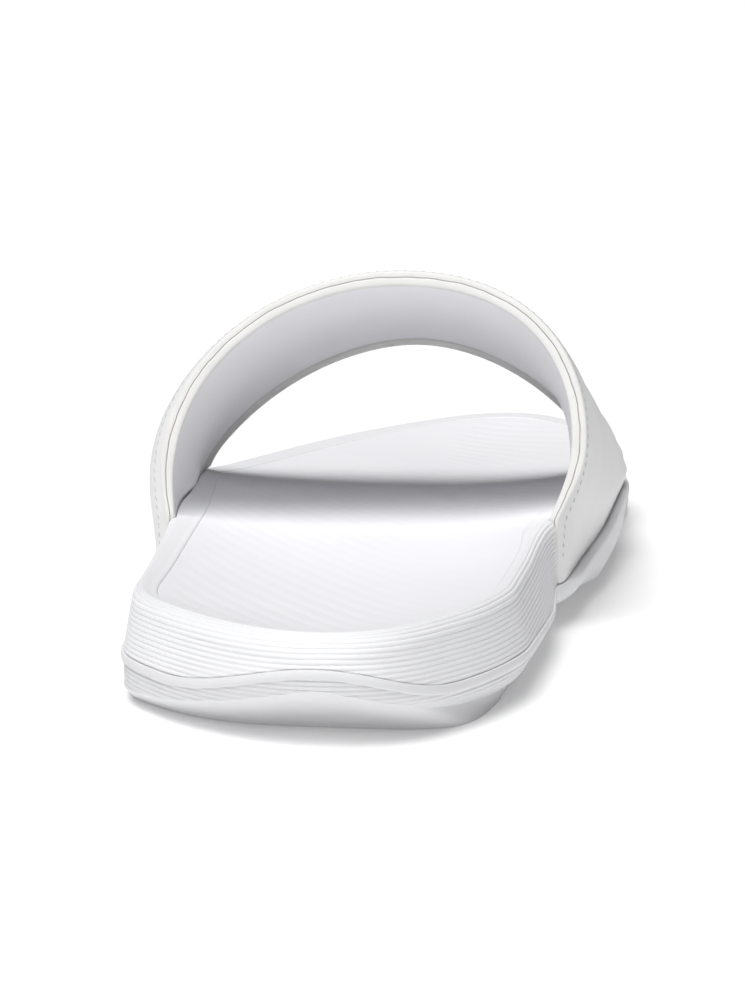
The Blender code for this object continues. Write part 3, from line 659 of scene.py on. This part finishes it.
def make_midsole():
    """Foam body: finely ribbed side, soft rolled rim, raised lip around the insole's seat."""
    places = midsole_stations()

    def foot(y, side):
        return step_height(y, side) + STEP_GAP

    def core(y, side=None):
        return height("core", y) + FIT_GAP

    def roll(y, side):
        """Height of the soft shoulder: small where the strap's seat leaves little room."""
        tall = ROLL + (ROLL_REAR - ROLL) * (1 - heel_roundness(y)) ** ROLL_POWER
        free = np.minimum(tall, ROLL_ROOM * (rim_height(y, side) - foot(y, side)))
        return np.where(notch(y, side) > 0, ROLL_AT_STRAP, free)

    def wall_point(y, side, share):
        """Inset and height at a share of the wall's length, from its foot to the rim."""
        high = roll(y, side)
        wide = ROLL_SPREAD * high
        straight = rim_height(y, side) - high - foot(y, side)
        arc = (high + wide) / 2 * np.pi / 2
        run = share * (straight + arc)
        up = np.minimum(run, straight)
        turn = np.clip((run - straight) / arc, 0, 1) * np.pi / 2
        tall = rim_height(y, side) - FRAME_ROLL - foot(y, side)
        base = lean(y, side, up / tall) + notch(y, side)
        fillet = FOOT_FILLET * (1 - ease(0, FOOT_FILLET_HEIGHT, run))
        ribs = rib_relief(straight + arc - run, y, side)
        inset = base + fillet + wide * (1 - np.cos(turn)) + ribs * np.cos(turn)
        return inset, foot(y, side) + up + high * np.sin(turn) - ribs * np.sin(turn)

    loops = [
        wall_ring(places, lambda y, side: LEDGE + CUP_SLOPE + FIT_GAP, core),
        wall_ring(places, lambda y, side: LEDGE + FIT_GAP, foot),
    ]
    for share in np.arange(WALL_ROWS + 1) / WALL_ROWS:
        def inset(y, side, share=share):
            return wall_point(y, side, share)[0]

        def level(y, side, share=share):
            return wall_point(y, side, share)[1]
        loops.append(wall_ring(places, inset, level))
    loops += border_rings(places, SEAT_EDGE)
    floor = INSOLE_WALL + FIT_GAP
    for row in SEAT_FLOOR:
        loops.append(bed_ring(places, lambda y, side, row=row: BORDER + row, floor))
    under = middle_row(places, lambda x, y: core(y))
    seat = middle_row(places, lambda x, y: height("bed", y) - floor)
    stack("midsole_body", under, loops, seat, foam, ("midsole",))


# Insole

def flow(x, y):
    """Phase of the footbed's lines: slanted under the foot, turning across at the toe."""
    at = np.linspace(0, LENGTH, FLOW_STEPS)
    angle = WAVE_ANGLE + WAVE_TURN * ease(*WAVE_TURN_PLACES, at)
    forward = np.cumsum(np.sin(angle)) * (at[1] - at[0])
    phase = x * np.cos(np.interp(y, at, angle)) + np.interp(y, at, forward)
    across, along = WAVE_DRIFT_LENGTHS
    return phase + WAVE_DRIFT * wobble(x / across, y / along)


def bed_relief(x, y):
    turn = 2 * np.pi * flow(x, y) / WAVE_PITCH
    return WAVE_DEPTH * (0.5 * np.sin(turn) + WAVE_OVERTONE * np.sin(2 * turn + WAVE_OVERTONE_SHIFT))


def make_insole():
    """Footbed cover, let into the midsole, with slanted wavy lines."""
    places = midsole_stations()

    def faded(distance):
        """The relief, faded out towards the border."""
        strength = ease(*WAVE_FADE, distance)

        def relief(x, y):
            return strength * bed_relief(x, y)
        return relief

    loops = []
    for row in INSOLE_UNDERSIDE:
        loops.append(bed_ring(places, lambda y, side, row=row: BORDER + row, INSOLE_WALL))
    loops += border_rings(places, INSOLE_EDGE)
    start = BORDER + INSOLE_TOP
    for share in np.arange(BED_RINGS) / BED_RINGS:
        def inset(y, side, share=share):
            return start + share * (reach(y, side) - start)
        loops.append(bed_ring(places, inset, relief=faded(share * TOP_REACH)))
    under = middle_row(places, lambda x, y: height("bed", y) - INSOLE_WALL)
    top = middle_row(places, lambda x, y: height("bed", y) + bed_relief(x, y))
    stack("insole_cover", under, loops, top, bed_foam, ("insole",))


# Outsole

def mark_sharp(piece, row, count):
    """Make one loop of a stack a crease."""
    edges = piece.data.edges
    ends = np.empty(2 * len(edges), dtype=np.int32)
    edges.foreach_get("vertices", ends)
    for index in np.flatnonzero((ends.reshape(-1, 2) // count == row).all(axis=1)):
        edges[int(index)].use_edge_sharp = True


def tread_height(y):
    return height("tread", y)


def contact_point(y, side, inset):
    """The tread's edge: bevelled off at the rear of the heel, where it is squarer."""
    rear = np.clip(1 - y / HEEL_ROUND, 0, 1)
    moved = y + HEEL_BEVEL * rear
    edge_in = (EDGE_BEVEL - BEAD_PROUD + undercut(y, side)) * (1 - rear) + inset
    x = outline_x(y, side, fullness=TREAD_FULLNESS)
    middle = axis_point(y)
    flat = np.stack([x, moved], axis=-1)
    inward = middle - flat
    far = np.linalg.norm(inward, axis=-1)[..., None]
    return flat + inward / far * np.asarray(edge_in)[..., None], far[..., 0]


def groove_rise(y, front):
    """Depth of the flex grooves across the ball, where the strap ends at front."""
    middles = STRAP_REAR + np.array(FLEX_GROOVES) * (front - STRAP_REAR)
    nearest = np.min([np.abs(y - middle) for middle in middles], axis=0)
    return TREAD_DEPTH * (1 - ease(0.25 * FLEX_GROOVE_WIDTH, 0.5 * FLEX_GROOVE_WIDTH, nearest))


def tread_relief(x, y):
    """Fine wavy siping of the tread."""
    swing = TREAD_WAVE_SWING * np.sin(2 * np.pi * x / TREAD_WAVE_SPAN)
    turn = 2 * np.pi * (y + swing) / TREAD_WAVE_PITCH
    return TREAD_WAVE_DEPTH * ease(*TREAD_WAVE_CUT, np.sin(turn))


def tread_ring(places, share):
    """A loop of the tread: share is 0 at its edge and 1 on the middle line."""
    ramp = 0.25 * CHANNEL_WIDTH
    channel_end = CHANNEL_BORDER + CHANNEL_WIDTH

    def point(y, side):
        far = contact_point(y, side, 0)[1]
        inset = share * (far - EDGE_BEVEL)
        flat = contact_point(y, side, inset)[0]
        channel = ease(CHANNEL_BORDER, CHANNEL_BORDER + ramp, inset)
        channel *= 1 - ease(channel_end - ramp, channel_end, inset)
        field = ease(channel_end, channel_end + FIELD_EDGE, inset)
        inside = ease(CHANNEL_BORDER - ramp, CHANNEL_BORDER + ramp, inset)
        rise = np.maximum(TREAD_DEPTH * channel, inside * groove_rise(flat[:, 1], strap_front(side)))
        rise = np.maximum(rise, field * tread_relief(flat[:, 0], flat[:, 1]))
        level = tread_height(y) + (tread_height(flat[:, 1]) - tread_height(y)) * share + rise
        return raised(flat, level)
    return ring(places, point)


def bevel_ring(places, share):
    """A loop of the bevel, bulging a little between the tread and the side."""
    def point(y, side):
        low = contact_point(y, side, 0)[0]
        high = inset_point(y, side, undercut(y, side) - outsole_proud(y) + BEAD_PROUD)
        out = high - axis_point(y)
        out /= np.linalg.norm(out, axis=-1)[..., None]
        bulge = BEVEL_BULGE * np.sin(np.pi * share) * lens_height(y)
        flat = low + (high - low) * share + out * bulge[..., None]
        level = tread_height(y) + lens_height(y) * share
        return raised(flat, level)
    return ring(places, point)


def make_outsole():
    """Lower sole: tread with channel and grooves, bevel, ribbed side under a smooth bead."""
    places = paired_stations(*([front + NOTCH_EDGE] for front in STRAP_FRONTS))

    def tread_middle(x, y):
        groove = groove_rise(y, np.mean(STRAP_FRONTS))
        return tread_height(y) + np.maximum(groove, tread_relief(x, y))

    def lens_top(y, side):
        return tread_height(y) + lens_height(y)

    def bead_foot(y, side):
        return step_height(y, side) - BEAD_HEIGHT

    loops = [tread_ring(places, 1 - step / TREAD_RINGS) for step in range(1, TREAD_RINGS + 1)]
    loops += [bevel_ring(places, share) for share in BEVEL_ROWS]
    for share in np.arange(LOWER_RIB_ROWS + 1) / LOWER_RIB_ROWS:
        def level(y, side, share=share):
            low = lens_top(y, side)
            return low + share ** SIDE_SPACING * (bead_foot(y, side) - low)

        def inset(y, side, share=share, level=level):
            z = level(y, side)
            taper = undercut(y, side) * (1 - share) ** SIDE_TAPER
            overhang = BEVEL_LIP * (1 - ease(0, BEVEL_LIP_HEIGHT, z - lens_top(y, side)))
            spread = outsole_proud(y) - BEAD_PROUD
            return taper - overhang - spread + lower_rib_relief(z, y) * ease(0, LOWER_RIB_START, share)
        loops.append(wall_ring(places, inset, level))
    for row in range(1, BEAD_ROWS + 1):
        turn = row / BEAD_ROWS * BEAD_TURN

        def inset(y, side, turn=turn):
            return BEAD_PROUD * (1 - np.sin(turn)) - outsole_proud(y)

        def level(y, side, turn=turn):
            rise = (1 - np.cos(turn)) / (1 - np.cos(BEAD_TURN))
            return bead_foot(y, side) + BEAD_HEIGHT * rise
        loops.append(wall_ring(places, inset, level))
    loops.append(wall_ring(places, lambda y, side: LEDGE, step_height))
    loops.append(wall_ring(places, lambda y, side: LEDGE + CUP_SLOPE, lambda y, side: height("core", y)))
    under = middle_row(places, tread_middle)
    top = middle_row(places, lambda x, y: height("core", y))
    body = stack("outsole_body", under, loops, top, rubber, ("outsole",))
    mark_sharp(body, TREAD_RINGS + len(BEVEL_ROWS), len(loops[0]))


# Strap

def strap_leg(across, side, rise):
    """Inner face of one leg, from the outsole's seat (rise 0) to the rim (1)."""
    y = STRAP_REAR + across * (strap_front(side) - STRAP_REAR)
    seat = step_height(y, side) + FIT_GAP
    rim = rim_height(y, side)
    z = seat + rise * (rim - seat)
    share = (z - seat) / (rim - FRAME_ROLL - seat)
    inset = lean(y, side, share) + STRAP_NOTCH - FIT_GAP
    return inset_point(y, side, inset)[..., 0], y, z


def strap_arch(across, side, turn):
    """Inner face of one half of the arch, from the rim (turn 0) to the crown (1).

    A cubic curve whose first handle rises from the foot and leans out, and whose second lies
    level at the crown.
    """
    foot_x, foot_y, foot_z = strap_leg(across, side, 1)
    crown_x = BALL_WIDTH * smooth(STRAP, "crown_across", across)
    crown_y = STRAP_REAR + STRAP_CROWN_SET + across * STRAP_CROWN_WIDTH
    crown_z = STRAP_HEIGHT * smooth(STRAP, "crown_height", across) - STRAP_CROWN_WALL
    name = side_name(side)
    out = side * BALL_WIDTH * smooth(STRAP, name + "_out", across)
    low_z = foot_z + (crown_z - foot_z) * smooth(STRAP, name + "_rise", across)
    high_x = crown_x + (foot_x - crown_x) * smooth(STRAP, name + "_crown", across)
    left = 1 - turn
    first, second = 3 * turn * left ** 2, 3 * turn ** 2 * left
    x = left ** 3 * foot_x + first * (foot_x + out) + second * high_x + turn ** 3 * crown_x
    z = left ** 3 * foot_z + first * low_z + (second + turn ** 3) * crown_z
    rise = (z - foot_z) / (crown_z - foot_z)
    return x, foot_y + (crown_y - foot_y) * rise, z


class StrapFace:
    """The strap's inner face as a grid: rows across its width, columns from leg to leg.

    For each point, rise is the share of the crown's height that it has reached, leg is 1 at the
    legs and 0 at the crown, free and high grow from 0 to 1 above the rim, below grows below it,
    and run is the distance along the row.
    """

    def __init__(self, across):
        halves = []
        for side in (LATERAL, MEDIAL):
            half = []
            for rise in np.arange(LEG_STEPS) / LEG_STEPS:
                half.append(np.stack(np.broadcast_arrays(*strap_leg(across, side, rise)), axis=-1))
            for turn in np.linspace(0, 1, ARCH_STEPS + 1):
                half.append(np.stack(np.broadcast_arrays(*strap_arch(across, side, turn)), axis=-1))
            halves.append(half)
        self.across = across
        self.points = np.stack(halves[0] + halves[1][-2::-1], axis=1)
        middle = self.points.shape[1] // 2
        z = self.points[..., 2]
        foot = np.minimum(z[:, 0], z[:, -1])[:, None]
        self.rise = np.clip((z - foot) / (z[:, middle][:, None] - foot), 0, 1)
        normal = np.cross(np.gradient(self.points, axis=1), np.gradient(self.points, axis=0))
        normal[..., 1:] *= ease(*UPRIGHT, self.rise)[..., None]
        self.normal = normal / np.linalg.norm(normal, axis=2)[..., None]
        above = np.empty_like(z)
        for side, columns in ((LATERAL, slice(0, middle)), (MEDIAL, slice(middle, None))):
            y = STRAP_REAR + across * (strap_front(side) - STRAP_REAR)
            above[:, columns] = z[:, columns] - rim_height(y, side)[:, None]
        self.lateral = np.broadcast_to(np.arange(z.shape[1]) < middle, z.shape)
        self.free = ease(*PAD_FOOT, above)
        self.high = ease(0, MEDIAL_SET_RISE, above)
        self.below = np.clip(-above / TUCK_HEIGHT, 0, 1)
        self.leg = 1 - ease(*LEG_END, self.rise)
        grown = ease(*EDGE_WALL_RISE, above)
        self.edge_wall = EDGE_FOOT_WALL + (STRAP_CROWN_WALL - EDGE_FOOT_WALL) * grown
        lengths = np.linalg.norm(np.diff(self.points, axis=1), axis=2)
        self.run = np.concatenate([np.zeros((len(across), 1)), np.cumsum(lengths, axis=1)], axis=1)

    def at(self, depth):
        """Points at a depth outwards from the inner face."""
        placed = self.points + self.normal * np.broadcast_to(depth, self.rise.shape)[..., None]
        placed[:, 0, 2] = self.points[:, 0, 2]
        placed[:, -1, 2] = self.points[:, -1, 2]
        return placed


def strap_rows(margin):
    """Shares of the width: close together near both edges, wider apart between them."""
    near = NEAR_ROWS + margin
    middle = np.linspace(near[-1], NOMINAL_WIDTH - near[-1], MIDDLE_ROWS)[1:-1]
    far = NOMINAL_WIDTH - near[::-1]
    distances = np.concatenate([[margin], near, middle, far, [NOMINAL_WIDTH - margin]])
    return distances / NOMINAL_WIDTH


def edge_distance(across):
    return np.minimum(across, 1 - across) * NOMINAL_WIDTH


def sheet_of_strap(name, low, high, corners, margin, material):
    """One layer of the strap, closed, with its corners rounded along both its edges.

    low and high give the depths of its faces from a StrapFace and its shares of the width, and
    corners the radii at its inner and its outer face.
    """
    across = strap_rows(margin)
    face = StrapFace(across)
    inner_depth, outer_depth = low(face, across), high(face, across)
    inner, outer = face.at(inner_depth), face.at(outer_depth)

    def edge(row, inward_row):
        """Points around one edge of the layer, from its inner to its outer face."""
        inward = face.points[inward_row] - face.points[row]
        inward /= np.linalg.norm(inward, axis=1)[:, None]
        out = face.normal[row]
        points = []
        for turn in CORNER_TURNS:
            centre = inner[row] + (inward + out) * corners[0]
            points.append(centre - corners[0] * (inward * np.sin(turn) + out * np.cos(turn)))
        for turn in CORNER_TURNS[::-1]:
            centre = outer[row] + (inward - out) * corners[1]
            points.append(centre - corners[1] * (inward * np.sin(turn) - out * np.cos(turn)))
        return points
    rear, front = edge(0, 1), edge(-1, -2)
    half = [*rear[3::-1], *inner[1:-1], *front[:4]]
    other = [*rear[4:], *outer[1:-1], *front[:3:-1]]
    loop = np.stack(half + other[::-1])
    count, columns = loop.shape[:2]
    faces = [band(k * count, (k + 1) * count, count) for k in range(columns - 1)]
    a = np.arange(count // 2 - 1)
    cap = np.stack([a, a + 1, count - 2 - a, count - 1 - a], axis=1)
    faces.append(cap[:, ::-1])
    faces.append(cap + (columns - 1) * count)
    points = loop.transpose(1, 0, 2).reshape(-1, 3)
    piece = new_object(name, points, np.concatenate(faces), material)
    piece.data.materials.append(edge_foam)
    # The faces around both edges show the foam: they lie at the loop's ends and at its middle
    rim = np.zeros(count, dtype=int)
    rim[[count - 1, count - 2, count - 3, 0, 1, 2]] = 1
    rim[count // 2 - 4:count // 2 + 3] = 1
    slots = np.zeros(len(piece.data.polygons), dtype=int)
    slots[:count * (columns - 1)] = np.tile(rim, columns - 1)
    piece.data.polygons.foreach_set("material_index", slots)
    return piece


def edge_depths(face):
    """Inner and outer depth of the strap's thin edges."""
    rear = EDGE_SET + np.where(face.lateral, 0, MEDIAL_SET) * face.high
    front = FRONT_SET * face.free
    inner = (rear + (front - rear) * ease(*SET_CHANGE, face.across)[:, None]) * face.leg
    return inner, inner + face.edge_wall


def outer_depth(face, distance):
    """The outer face, padded between its thin edges, and tucked in at the foot."""
    edge = edge_depths(face)[1]
    bulge = np.where(face.lateral, *LEG_BULGES)
    tuck = np.where(face.lateral, *TUCKS) * face.below * (1 - face.below / 2)
    full = CROWN_BULGE + (bulge - CROWN_BULGE) * face.leg - tuck
    share = np.clip(distance / ROUND_OFF, 0, 1)
    return edge + (full - edge) * np.sqrt(1 - (1 - share) ** 2)


def inner_depth(face, distance):
    """The padded lining: a broad hump above the rim."""
    edge = edge_depths(face)[0]
    hump = (CROWN_PAD + (np.where(face.lateral, *LEG_PADS) - CROWN_PAD) * face.leg) * face.free
    share = ease(LINING_SLOPE, 0.5 * NOMINAL_WIDTH, distance)
    hem = edge + LINING_RECESS * face.free
    return hem - (hem + hump) * share


def seam_depth(face):
    """The seam between both layers wanders a little, as a hand-trimmed edge does."""
    low, high = edge_depths(face)
    short, long = SEAM_STEP_LENGTHS
    steps = SEAM_STEP * np.tanh(SEAM_STEEPNESS * wobble(face.run / short, face.run / long))
    wander = SEAM_WANDER * wobble(face.run / SEAM_WANDER_LENGTH)
    return low + (high - low) * SEAM + wander + steps


def make_strap():
    """Two layers with a seam between them, a set-back padded lining and topstitched edges."""
    def cover_low(face, across):
        return seam_depth(face) + SEAM_GAP

    def cover_high(face, across):
        distance = edge_distance(across)[:, None]
        groove = STITCH_GROOVE * np.exp(-((distance - STITCH_INSET) / STITCH_GROOVE_WIDTH) ** 2)
        return outer_depth(face, distance) - groove

    def core_low(face, across):
        distance = edge_distance(across)[:, None]
        recess = CORE_RECESS * ease(*CORE_RECESS_PLACE, distance)
        return np.minimum(edge_depths(face)[0] + recess, seam_depth(face) - CORE_WALL)

    def core_high(face, across):
        return seam_depth(face) - SEAM_GAP

    def lining_low(face, across):
        distance = edge_distance(across)[:, None]
        roll = HEM_ROLL * (1 - ease(LINING_INSET, LINING_INSET + HEM_ROLL_WIDTH, distance))
        return inner_depth(face, distance) + roll + LINING_GAP

    def lining_high(face, across):
        return np.maximum(edge_depths(face)[0] + LINING_HOLD, lining_low(face, across) + LINING_WALL)

    cover = sheet_of_strap("strap_cover", cover_low, cover_high, COVER_CORNERS, 0, leather)
    sheet_of_strap("strap_core", core_low, core_high, CORE_CORNERS, 0, edge_foam)
    sheet_of_strap("strap_lining", lining_low, lining_high, LINING_CORNERS, LINING_INSET, cloth)
    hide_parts("strap")


def sample(values, run, at):
    """The point, or the direction, at a distance along a row."""
    return np.array([np.interp(at, run, values[:, axis]) for axis in range(3)])


def unit(vector):
    return vector / np.linalg.norm(vector)


def make_stitches():
    """Topstitching along both edges of the strap: short slanted threads, half sunk in."""
    profile = np.linspace(0, np.pi, STITCH_RINGS)
    circle = np.linspace(0, 2 * np.pi, STITCH_SIDES, endpoint=False)
    across = np.array([STITCH_INSET, 2 * STITCH_INSET, NOMINAL_WIDTH - 2 * STITCH_INSET,
                       NOMINAL_WIDTH - STITCH_INSET]) / NOMINAL_WIDTH
    face = StrapFace(across)
    outer = face.at(outer_depth(face, edge_distance(across)[:, None]) - STITCH_GROOVE)
    points, faces = [], []
    base = 0
    for row, inner_row in ((0, 1), (3, 2)):
        lengths = np.linalg.norm(np.diff(outer[row], axis=0), axis=1)
        run = np.concatenate([[0], np.cumsum(lengths)])
        for start in np.arange(STITCH_MARGIN, run[-1] - STITCH_MARGIN, STITCH_PITCH):
            centre = sample(outer[row], run, start)
            ahead = sample(outer[row], run, start + STITCH_PITCH / 2)
            along = unit(ahead - sample(outer[row], run, start - STITCH_PITCH / 2))
            out = sample(face.normal[row], run, start)
            inward = unit(sample(outer[inner_row], run, start) - centre)
            along = unit(along + STITCH_SLANT * inward)
            inward = np.cross(out, along)
            for turn in profile:
                radius = STITCH_RADIUS * max(np.sin(turn), STITCH_END) ** STITCH_FULLNESS
                sunk = STITCH_DIP * np.cos(turn) ** 2
                middle = centre - along * STITCH_LENGTH / 2 * np.cos(turn) - out * sunk
                around = np.cos(circle)[:, None] * out + np.sin(circle)[:, None] * inward
                points.append(middle + radius * around)
            faces.append(base + STITCH_CAP[:, ::-1])
            for _ in range(STITCH_RINGS - 1):
                faces.append(band(base, base + STITCH_SIDES, STITCH_SIDES))
                base += STITCH_SIDES
            faces.append(base + STITCH_CAP)
            base += STITCH_SIDES
    new_object("strap_stitches", np.concatenate(points), np.concatenate(faces), thread)


# Room

def make_camera():
    turn, rise = CAMERA_TURN, CAMERA_RISE
    right = Vector((np.cos(turn), np.sin(turn), 0))
    back = Vector((np.sin(turn) * np.cos(rise), -np.cos(turn) * np.cos(rise), np.sin(rise)))
    up = back.cross(right)
    data = bpy.data.cameras.new("camera")
    camera = bpy.data.objects.new("camera", data)
    bpy.context.scene.collection.objects.link(camera)
    rotation = Matrix((right, up, back)).transposed().to_4x4()
    camera.matrix_world = Matrix.Translation(CAMERA_TARGET + back * CAMERA_DISTANCE) @ rotation
    data.sensor_fit = "AUTO"
    data.sensor_width = SENSOR_WIDTH
    data.lens = SENSOR_WIDTH * FOCAL_PIXELS / PHOTO_SIZE[1]
    data.shift_x = (PHOTO_SIZE[0] / 2 - PHOTO_CENTRE[0]) / PHOTO_SIZE[1]
    data.shift_y = (PHOTO_CENTRE[1] - PHOTO_SIZE[1] / 2) / PHOTO_SIZE[1]
    data.clip_start = 10 * MM
    data.clip_end = 200
    bpy.context.scene.camera = camera


def add_sun(name, energy, spread, source):
    """A sun of a wide angle, shining from the direction source."""
    sun = bpy.data.lights.new(name, "SUN")
    sun.energy = energy
    sun.angle = spread
    light = bpy.data.objects.new(name, sun)
    light.rotation_euler = Vector(source).to_track_quat("Z", "Y").to_euler()
    bpy.context.scene.collection.objects.link(light)


def make_floor():
    """A pale floor that also gives off a little light."""
    mesh = bpy.data.meshes.new("floor")
    corners = [(x * FLOOR_REACH, y * FLOOR_REACH, 0) for x, y in ((-1, -1), (1, -1), (1, 1), (-1, 1))]
    mesh.from_pydata(corners, [], [(0, 1, 2, 3)])
    floor = bpy.data.objects.new("floor", mesh)
    bpy.context.scene.collection.objects.link(floor)
    paint = bpy.data.materials.new("floor_paint")
    paint.use_nodes = True
    shader = paint.node_tree.nodes["Principled BSDF"]
    shader.inputs["Base Color"].default_value = (0.93, 0.93, 0.93, 1)
    shader.inputs["Roughness"].default_value = 0.9
    shader.inputs["Specular IOR Level"].default_value = 0.1
    shader.inputs["Emission Color"].default_value = (1, 1, 1, 1)
    shader.inputs["Emission Strength"].default_value = FLOOR_GLOW
    mesh.materials.append(paint)


def make_room():
    """The floor, a wide key light from above and behind, a weaker fill, and an even pale sky."""
    make_floor()
    add_sun("key", **KEY)
    add_sun("fill", **FILL)
    sky = bpy.data.worlds.new("sky")
    sky.use_nodes = True
    background = sky.node_tree.nodes["Background"]
    background.inputs["Color"].default_value = (0.98, 0.98, 1, 1)
    background.inputs["Strength"].default_value = SKY_STRENGTH
    bpy.context.scene.world = sky
    bpy.context.scene.view_settings.view_transform = "Standard"


make_camera()
make_room()
make_outsole()
make_midsole()
make_insole()
make_strap()
make_stitches()
